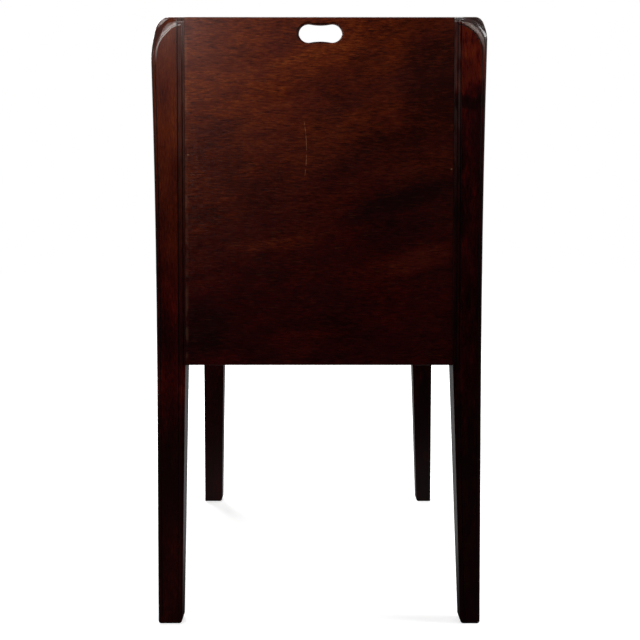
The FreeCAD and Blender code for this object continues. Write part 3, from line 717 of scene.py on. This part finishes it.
def brass():
    look = brassLook
    material = newMaterial("agedBrass")
    tree = material.node_tree
    x, y, z = placeOn(tree)
    patina = pattern(look["patina"], x, y, z)
    scratches = pattern(look["scratches"], x, y, z)
    grime = (1 - shade(tree, look["grimeReach"], True)).step(*look["grimeFrom"])
    colour = mix(patina, shown(*look["clean"]), shown(*look["aged"]))
    colour = tint(colour, grime * look["grimeAmount"], look["grime"])
    roughness = look["roughness"] + patina * look["patinaRoughness"]
    roughness = roughness + grime * look["grimeRoughness"]
    roughness = roughness + (scratches - 0.5) * look["scratchRoughness"]
    bump = addNode(tree, "ShaderNodeBump", None, {
        "Strength": look["relief"], "Distance": look["reliefDepth"],
        "Height": scratches + patina * look["patinaHeight"]})
    surface = addNode(tree, "ShaderNodeBsdfPrincipled", None, {
        "Base Color": colour, "Metallic": 1 - grime * look["grimeDull"], "Normal": bump,
        "Roughness": roughness})
    return finishMaterial(material, surface)


materials["oak"] = oak()
materials["brass"] = brass()
print("Oak and brass made")


# Steps that several pieces share

meshLook = {
    "mergeWithin": 0.000001,
    "flatWithin": 0.1,      # degrees: the frame's triangles join into faces up to this
    "softenFrom": 38,       # degrees: sharper edges are softened
    "smoothUpTo": 32,
}


def selectOnly(piece):
    bpy.ops.object.select_all(action="DESELECT")
    piece.select_set(True)
    bpy.context.view_layer.objects.active = piece


def applyModifiers(piece):
    selectOnly(piece)
    for modifier in list(piece.modifiers):
        bpy.ops.object.modifier_apply(modifier=modifier.name)


def editMode():
    bpy.ops.object.mode_set(mode="EDIT")


def objectMode():
    bpy.ops.object.mode_set(mode="OBJECT")


def selectNothingOn(piece):
    # in object mode
    for group in (piece.data.vertices, piece.data.edges, piece.data.polygons):
        for item in group:
            item.select = False


def mergedCopy(node, name):
    piece = nodes[node].copy()
    piece.data = nodes[node].data.copy()
    piece.name = name
    piece.parent = None
    bpy.context.scene.collection.objects.link(piece)
    selectOnly(piece)
    bpy.ops.mesh.customdata_custom_splitnormals_clear()
    editMode()
    bpy.ops.mesh.select_all(action="SELECT")
    bpy.ops.mesh.remove_doubles(threshold=meshLook["mergeWithin"])
    bpy.ops.mesh.dissolve_limited(angle_limit=math.radians(meshLook["flatWithin"]))
    objectMode()
    return piece


def soften(piece, width, segments=2):
    bevel = piece.modifiers.new("edges", "BEVEL")
    bevel.width = width
    bevel.segments = segments
    bevel.limit_method = "ANGLE"
    bevel.angle_limit = math.radians(meshLook["softenFrom"])
    bevel.harden_normals = False
    applyModifiers(piece)


def smooth(piece):
    selectOnly(piece)
    bpy.ops.object.shade_smooth_by_angle(angle=math.radians(meshLook["smoothUpTo"]))
    weighted = piece.modifiers.new("normals", "WEIGHTED_NORMAL")
    weighted.keep_sharp = True
    applyModifiers(piece)


bodies = frame["record"]["behaviour"]["bodies"]
bodyOf = {node: body for body, members in bodies.items() for node in members}


def dress(piece, material, node, instead=True):
    piece.data.materials.clear()
    piece.data.materials.append(materials[material])
    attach(piece, bodyOf[node])
    if instead:
        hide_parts(node)


# Wooden pieces: the frame's own, with softened edges. Each finish: width of the edges, nodes

woodPieces = {
    "sides": (0.0004, ["side_panel_left", "side_panel_right"]),
    "boards": (0.0006, ["back_panel", "tray_board", "tray_front_lip"]),
    "oak": (0.0006, ["floor_board", "floor_blocks", "tray_blocks"]),
    "rails": (0.0005, ["door_head", "door_sill", "front_door_rail_top", "front_door_rail_bottom",
                       "rear_door_rail_top", "rear_door_rail_bottom"]),
    "stiles": (0.0005, ["front_door_stile_outer", "front_door_stile_inner", "rear_door_stile_outer",
                        "rear_door_stile_inner"]),
    "panels": (0.0004, ["front_door_panel", "rear_door_panel"]),
}

for finish, (width, members) in woodPieces.items():
    for node in members:
        piece = mergedCopy(node, node + "_wood")
        soften(piece, width)
        smooth(piece)
        dress(piece, finish, node)
    print("Softened", finish)


# Legs: softened, with fine sunk lines in the side face. Each line: places along y and z

legLook = {
    "edge": 0.0007,
    "faceLine": 0.0009,
    "beadLine": 0.0005,
    "hair": 1.0002,         # lines are cut from just outside the face
    "roll": 0.0042,         # how far the head falls back at its outline
    "rollWidth": 0.0120,
    "rollFoot": 0.712,
    "rollFade": 0.034,
    "rollStep": 0.00002,    # vertices that fall back alike move together
    "rolledEdge": 0.005,    # of the frame's own piece
    "rolledOff": 0.999,     # share of it past which nothing moves
    "beadEdge": 0.1792,
    # where the head is cut into fine faces, so that it can fall back smoothly
    "cuts": {"y": [0.1815 + 0.0021 * number for number in range(12)],
             "z": [0.7655 - 0.0027 * number for number in range(20)]},
    "back": {
        "faceLine": [(0.1740, 0.7642), (0.1802, 0.7628), (0.1865, 0.7596), (0.1935, 0.7528),
                     (0.1979, 0.7478), (0.2016, 0.7418), (0.2041, 0.7340), (0.2056, 0.7230),
                     (0.2062, 0.7100), (0.2032, 0.5650), (0.2016, 0.4110), (0.2014, 0.0090)],
        "beadLine": [(0.1726, 0.7900), (0.1726, 0.3340), (0.1774, 0.0090)],
    },
    "front": {
        "faceLine": [(-0.1740, 0.7648), (-0.1820, 0.7632), (-0.1884, 0.7598), (-0.1932, 0.7560),
                     (-0.1978, 0.7510), (-0.2014, 0.7456), (-0.2042, 0.7385), (-0.2056, 0.7300),
                     (-0.2032, 0.5807), (-0.2016, 0.4162), (-0.2014, 0.0090)],
        "beadLine": [(-0.1744, 0.7900), (-0.1744, 0.3340), (-0.1832, 0.0090)],
    },
}


def heading(start, end):
    return math.atan2(end[1] - start[1], end[0] - start[0])


def headPath(piece, line):
    return legLook["back" if "back" in piece.name else "front"][line]


def outside(path, y, z):
    # How far a point lies beyond the line, towards the outline
    nearest = None
    for start, end in zip(path, path[1:]):
        sideways, up = end[0] - start[0], end[1] - start[1]
        length = math.hypot(sideways, up)
        share = ((y - start[0]) * sideways + (z - start[1]) * up) / length ** 2
        share = min(max(share, 0), 1)
        off = math.hypot(y - start[0] - share * sideways, z - start[1] - share * up)
        turn = sideways * (z - start[1]) - up * (y - start[0])
        if nearest is None or off < abs(nearest):
            nearest = math.copysign(off, turn)
    return nearest


def rollHead(piece):
    # The head outside the sunk line falls back towards its outline
    look = legLook
    side = cadBox[1].x
    turn = 1 if "back" in piece.name else -1
    selectOnly(piece)
    editMode()
    for axis, places in look["cuts"].items():
        for place in places:
            point = (0, place * turn, 0) if axis == "y" else (0, 0, place)
            normal = (0, 1, 0) if axis == "y" else (0, 0, 1)
            bpy.ops.mesh.select_all(action="SELECT")
            bpy.ops.mesh.bisect(plane_co=point, plane_no=normal)
    bpy.ops.mesh.select_all(action="DESELECT")
    objectMode()
    path = [(abs(y), z) for y, z in headPath(piece, "faceLine")]
    groups = {}
    for vertex in piece.data.vertices:
        sideways, level = abs(vertex.co.y), vertex.co.z
        back = (side - abs(vertex.co.x)) / look["rolledEdge"]
        beyond = outside(path, sideways, level)
        if beyond <= 0 or level < look["rollFoot"] or sideways < look["beadEdge"]:
            continue
        if back > look["rolledOff"]:
            continue
        share = min(beyond / look["rollWidth"], 1) ** 2
        fade = min((level - look["rollFoot"]) / look["rollFade"], 1)
        amount = look["roll"] * share * (1 - back) * fade * fade * (3 - 2 * fade)
        groups.setdefault(round(amount / look["rollStep"]), []).append(vertex.index)
    inwards = look["rollStep"] if "left" in piece.name else -look["rollStep"]
    for steps, members in groups.items():
        selectNothingOn(piece)
        for number in members:
            piece.data.vertices[number].select = True
        editMode()
        bpy.ops.mesh.select_mode(type="VERT")
        bpy.ops.transform.translate(value=(steps * inwards, 0, 0))
        objectMode()


def cutAway(piece, cutter):
    cut = piece.modifiers.new("cut", "BOOLEAN")
    cut.operation = "DIFFERENCE"
    cut.solver = "EXACT"
    cut.object = cutter
    applyModifiers(piece)
    selectOnly(cutter)
    bpy.ops.object.delete()


def lineCutter(path, side, radius):
    # A four-sided rod along the path, in the plane of the side face
    angle = heading(path[0], path[1])
    bpy.ops.object.select_all(action="DESELECT")
    bpy.ops.mesh.primitive_circle_add(
        vertices=4, radius=radius, fill_type="NGON", location=(side, *path[0]),
        rotation=(math.pi / 2 + angle, 0, 0))
    cutter = bpy.context.object
    bpy.ops.object.transform_apply(location=True, rotation=True, scale=True)
    editMode()
    bpy.ops.mesh.select_mode(type="FACE")
    bpy.ops.mesh.select_all(action="SELECT")
    for number in range(1, len(path)):
        last, here = path[number - 1], path[number]
        move = (0, here[0] - last[0], here[1] - last[1])
        bpy.ops.mesh.extrude_region_move(TRANSFORM_OT_translate={"value": move})
        wanted = heading(last, here)
        if number + 1 < len(path):
            wanted = (wanted + heading(here, path[number + 1])) / 2
        # positive turns run from +Z to +Y here
        bpy.ops.transform.rotate(value=angle - wanted, orient_axis="X",
                                 center_override=(side, *here))
        angle = wanted
    bpy.ops.mesh.select_all(action="SELECT")
    bpy.ops.mesh.normals_make_consistent(inside=False)
    objectMode()
    return cutter


def sinkLine(piece, line):
    # a hair outside the face, so that no corner of the rod lies in it
    side = (cadBox[0].x if "left" in piece.name else cadBox[1].x) * legLook["hair"]
    cutAway(piece, lineCutter(headPath(piece, line), side, legLook[line]))


for node in ("leg_front_left", "leg_front_right", "leg_back_left", "leg_back_right"):
    piece = mergedCopy(node, node + "_wood")
    soften(piece, legLook["edge"])
    rollHead(piece)
    for line in ("faceLine", "beadLine"):
        sinkLine(piece, line)
    smooth(piece)
    dress(piece, "legs", node)
print("Legs moulded")


# Mitred mouldings round the door panels

mouldingLook = {
    "width": 0.0062,
    "proud": 0.0040,
    "round": 0.0024,
    "roundSegments": 5,
    "roundShape": 0.35,
    "edge": 0.0003,
    "tuck": 0.0056,         # how far the panel runs into its groove
    "near": 0.0001,         # what counts as in the front plane
}


def doorMoulding(door):
    look = mouldingLook
    low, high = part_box(door + "_panel")
    tuck = look["tuck"]
    width, tall = high.x - low.x - 2 * tuck, high.z - low.z - 2 * tuck
    centre = ((low.x + high.x) / 2, low.y, (low.z + high.z) / 2)
    bpy.ops.object.select_all(action="DESELECT")
    bpy.ops.mesh.primitive_plane_add(size=1, location=centre, rotation=(math.pi / 2, 0, 0))
    piece = bpy.context.object
    piece.name = door + "_moulding"
    piece.scale = (width, tall, 1)
    bpy.ops.object.transform_apply(location=True, rotation=True, scale=True)
    editMode()
    bpy.ops.mesh.select_all(action="SELECT")
    bpy.ops.mesh.inset(thickness=look["width"])
    bpy.ops.mesh.delete(type="FACE")
    bpy.ops.mesh.select_all(action="SELECT")
    bpy.ops.mesh.extrude_region_move(TRANSFORM_OT_translate={"value": (0, -look["proud"], 0)})
    bpy.ops.mesh.select_all(action="SELECT")
    bpy.ops.mesh.normals_make_consistent(inside=False)
    bpy.ops.mesh.select_all(action="DESELECT")
    objectMode()
    front = low.y - look["proud"]
    for edge in piece.data.edges:
        ends = [piece.data.vertices[number].co for number in edge.vertices]
        edge.select = all(abs(end.x - centre[0]) < width / 2 - look["width"] / 2 and
                          abs(end.z - centre[2]) < tall / 2 - look["width"] / 2 and
                          abs(end.y - front) < look["near"] for end in ends)
    editMode()
    bpy.ops.mesh.select_mode(type="EDGE")
    bpy.ops.mesh.bevel(offset=look["round"], segments=look["roundSegments"],
                       profile=look["roundShape"])
    objectMode()
    soften(piece, look["edge"])
    smooth(piece)
    dress(piece, "stiles", door + "_stile_inner", instead=False)


doorMoulding("front_door")
doorMoulding("rear_door")
print("Door mouldings mitred")


# Turned brass: finger pulls and the domed pins that hold them.
# Rings: radius, and height in front of the door

pullLook = {
    "segments": 72,
    "rings": [(0.0015, -0.0071), (0.0045, -0.00715), (0.0074, -0.0070), (0.0090, -0.0064),
              (0.0099, -0.0052), (0.0102, -0.0030), (0.0103, -0.0002), (0.0106, 0.0006),
              (0.0111, 0.0009), (0.0116, 0.0008), (0.0119, 0.0005), (0.0123, 0.0005),
              (0.0127, 0.0009), (0.0134, 0.00115), (0.0142, 0.00115), (0.0147, 0.0009),
              (0.0150, 0.0003), (0.0150, 0.0), (0.0115, 0.0), (0.0115, -0.0078),
              (0.0108, -0.0085), (0.0015, -0.0085)],
}

pinLook = {
    "segments": 24,
    "head": 0.0014,
    "rings": [(0.0002, 0.0017), (0.0007, 0.00165), (0.0011, 0.0015), (0.00135, 0.00132),
              (0.0014, 0.0012), (0.0008, 0.0011), (0.0008, -0.0056), (0.0002, -0.0058)],
}


def turned(name, centre, look):
    first, rings = look["rings"][0], look["rings"][1:]
    x, y, z = centre
    bpy.ops.object.select_all(action="DESELECT")
    bpy.ops.mesh.primitive_circle_add(
        vertices=look["segments"], radius=first[0], fill_type="NGON",
        location=(x, y - first[1], z), rotation=(math.pi / 2, 0, 0))
    piece = bpy.context.object
    piece.name = name
    bpy.ops.object.transform_apply(location=True, rotation=True, scale=True)
    editMode()
    bpy.ops.mesh.select_mode(type="EDGE")
    bpy.ops.mesh.select_all(action="SELECT")
    bpy.ops.mesh.delete(type="ONLY_FACE")
    bpy.ops.mesh.select_all(action="SELECT")
    bpy.ops.mesh.edge_face_add()
    bpy.ops.mesh.select_mode(type="EDGE")
    radius, height = first
    for nextRadius, nextHeight in rings:
        bpy.ops.mesh.extrude_edges_move(
            TRANSFORM_OT_translate={"value": (0, height - nextHeight, 0)})
        share = nextRadius / radius
        bpy.ops.transform.resize(value=(share, 1, share), center_override=(x, y - nextHeight, z))
        radius, height = nextRadius, nextHeight
    bpy.ops.mesh.edge_face_add()
    bpy.ops.mesh.select_all(action="SELECT")
    bpy.ops.mesh.normals_make_consistent(inside=False)
    objectMode()
    return piece


def doorBrass(door):
    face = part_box(door + "_stile_outer")[0].y
    low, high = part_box(door + "_pull")
    centre = ((low.x + high.x) / 2, face, (low.z + high.z) / 2)
    pull = turned(door + "_pull_turned", centre, pullLook)
    smooth(pull)
    dress(pull, "brass", door + "_pull")
    low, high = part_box(door + "_pull_pins")
    levels = (high.z - pinLook["head"], low.z + pinLook["head"])
    pins = [turned("%s_pin_%d" % (door, number), (centre[0], face, level), pinLook)
            for number, level in enumerate(levels)]
    bpy.ops.object.select_all(action="DESELECT")
    for pin in pins:
        pin.select_set(True)
    bpy.context.view_layer.objects.active = pins[0]
    bpy.ops.object.join()
    pins[0].name = door + "_pins_turned"
    smooth(pins[0])
    dress(pins[0], "brass", door + "_pull_pins")


doorBrass("front_door")
doorBrass("rear_door")
print("Brass turned")


# Floor, light and camera. What the camera sees behind the piece is white, what the polish
# mirrors is dim, and a little brighter towards the right

floorLook = {
    "size": 14,
    "tone": (150, 150, 148),
    "seenTone": (240, 240, 240),
    "seenGlow": 0.62,
    "farGlow": 0.4,         # added away from the piece
    "far": (0.15, 1.2),     # squares of the distance
    "mirrored": 0.004,
    "rightMirrored": 0.50,
    "right": (-0.30, 0.15),
}

worldLook = {
    "light": 0.10,
    "seenGlow": 0.90,       # added for the camera
    "mirrored": 0.004,
    "rightMirrored": 0.60,
    "right": (-0.2, 0.8),
    "highMirrored": 0.10,
    "high": (0.2, 0.9),
}

# Square lamps: place, target, width, power

lamps = {
    "keyLamp": ((-0.90, 0.375, 1.02), (-0.265, 0.14, 0.70), 0.22, 3.4),
    "headLamp": ((-0.98, 0.66, 1.42), (-0.265, 0.14, 0.70), 0.18, 1.2),
    "rimLamp": ((-1.09, -0.70, 1.30), (-0.265, -0.20, 0.76), 0.24, 1.4),
    "rightLamp": ((-0.35, -1.7, 1.8), (0, -0.1, 0.6), 0.6, 24),
    "topLamp": ((0.3, -0.1, 2.3), (0, 0, 0.6), 0.8, 22),
    "backLamp": ((1.7, 0.9, 1.5), (0.2, 0, 0.5), 0.9, 34),
}


def glow(tree, level):
    return addNode(tree, "ShaderNodeEmission", None, {"Color": level, "Strength": 1.0})


def stageFloor():
    look = floorLook
    bpy.ops.object.select_all(action="DESELECT")
    bpy.ops.mesh.primitive_plane_add(size=look["size"], location=(0, 0, 0))
    floor = bpy.context.object
    floor.name = "floor"
    material = newMaterial("paleFloor")
    tree = material.node_tree
    seen = addNode(tree, "ShaderNodeLightPath", output="Is Camera Ray")
    glossy = addNode(tree, "ShaderNodeLightPath", output="Is Glossy Ray")
    x, y, z = placeOn(tree)
    far = (x * x + y * y).step(*look["far"])
    plain = addNode(tree, "ShaderNodeBsdfDiffuse", None, {"Color": shown(*look["tone"])})
    pale = addNode(tree, "ShaderNodeBsdfDiffuse", None, {"Color": shown(*look["seenTone"])})
    bright = glow(tree, look["seenGlow"] + far * look["farGlow"])
    lit = addNode(tree, "ShaderNodeAddShader", None, {0: pale, 1: bright})
    dim = glow(tree, look["mirrored"] + x.step(*look["right"]) * look["rightMirrored"])
    surface = addNode(tree, "ShaderNodeMixShader", None, {0: glossy, 1: plain, 2: dim})
    surface = addNode(tree, "ShaderNodeMixShader", None, {0: seen, 1: surface, 2: lit})
    floor.data.materials.append(finishMaterial(material, surface))


def lightWorld():
    look = worldLook
    world = bpy.data.worlds.new("paleRoom")
    world.use_nodes = True
    tree = world.node_tree
    tree.nodes.clear()
    seen = addNode(tree, "ShaderNodeLightPath", output="Is Camera Ray")
    glossy = addNode(tree, "ShaderNodeLightPath", output="Is Glossy Ray")
    through = addNode(tree, "ShaderNodeLightPath", output="Is Transmission Ray")
    x, y, z = split(addNode(tree, "ShaderNodeTexCoord", output="Generated"))
    mirrored = look["mirrored"] + x.step(*look["right"]) * look["rightMirrored"]
    mirrored = mirrored + z.step(*look["high"]) * look["highMirrored"]
    level = look["light"] + glossy * (mirrored - look["light"])
    level = level + (seen + through) * look["seenGlow"]
    back = addNode(tree, "ShaderNodeBackground", None, {"Color": level, "Strength": 1.0})
    addNode(tree, "ShaderNodeOutputWorld", None, {"Surface": back})
    bpy.context.scene.world = world


def hangLamp(name, place, target, width, power):
    lamp = bpy.data.lights.new(name, "AREA")
    lamp.shape = "SQUARE"
    lamp.size = width
    lamp.energy = power
    holder = bpy.data.objects.new(name, lamp)
    holder.location = place
    aim = Vector(target) - Vector(place)
    holder.rotation_euler = aim.to_track_quat("-Z", "Y").to_euler()
    holder.visible_camera = False
    bpy.context.scene.collection.objects.link(holder)


cameraLook = {
    "distance": 1.153,      # from the side faces of the near legs
    "sideways": 0.0058,
    "height": 0.5214,
    "tilt": 2.02,           # degrees down
    "focal": 911.2,         # in pixels of the 640 pixel picture
    "centre": (314.6, 250),
    "picture": 640,
    "sensor": 36.0,
    "clip": (0.01, 60),
}


def placeCamera():
    look = cameraLook
    camera = bpy.data.cameras.new("camera")
    camera.sensor_width = look["sensor"]
    camera.lens = look["focal"] / look["picture"] * look["sensor"]
    camera.shift_x = 0.5 - look["centre"][0] / look["picture"]
    camera.shift_y = look["centre"][1] / look["picture"] - 0.5
    camera.clip_start, camera.clip_end = look["clip"]
    holder = bpy.data.objects.new("camera", camera)
    holder.location = (cadBox[0].x - look["distance"], look["sideways"], look["height"])
    holder.rotation_euler = (math.radians(90 - look["tilt"]), 0, math.radians(-90))
    bpy.context.scene.collection.objects.link(holder)
    bpy.context.scene.camera = holder


stageFloor()
lightWorld()
for name, settings in lamps.items():
    hangLamp(name, *settings)
placeCamera()
bpy.context.scene.view_settings.view_transform = "Standard"
print("Stage, light and camera placed")
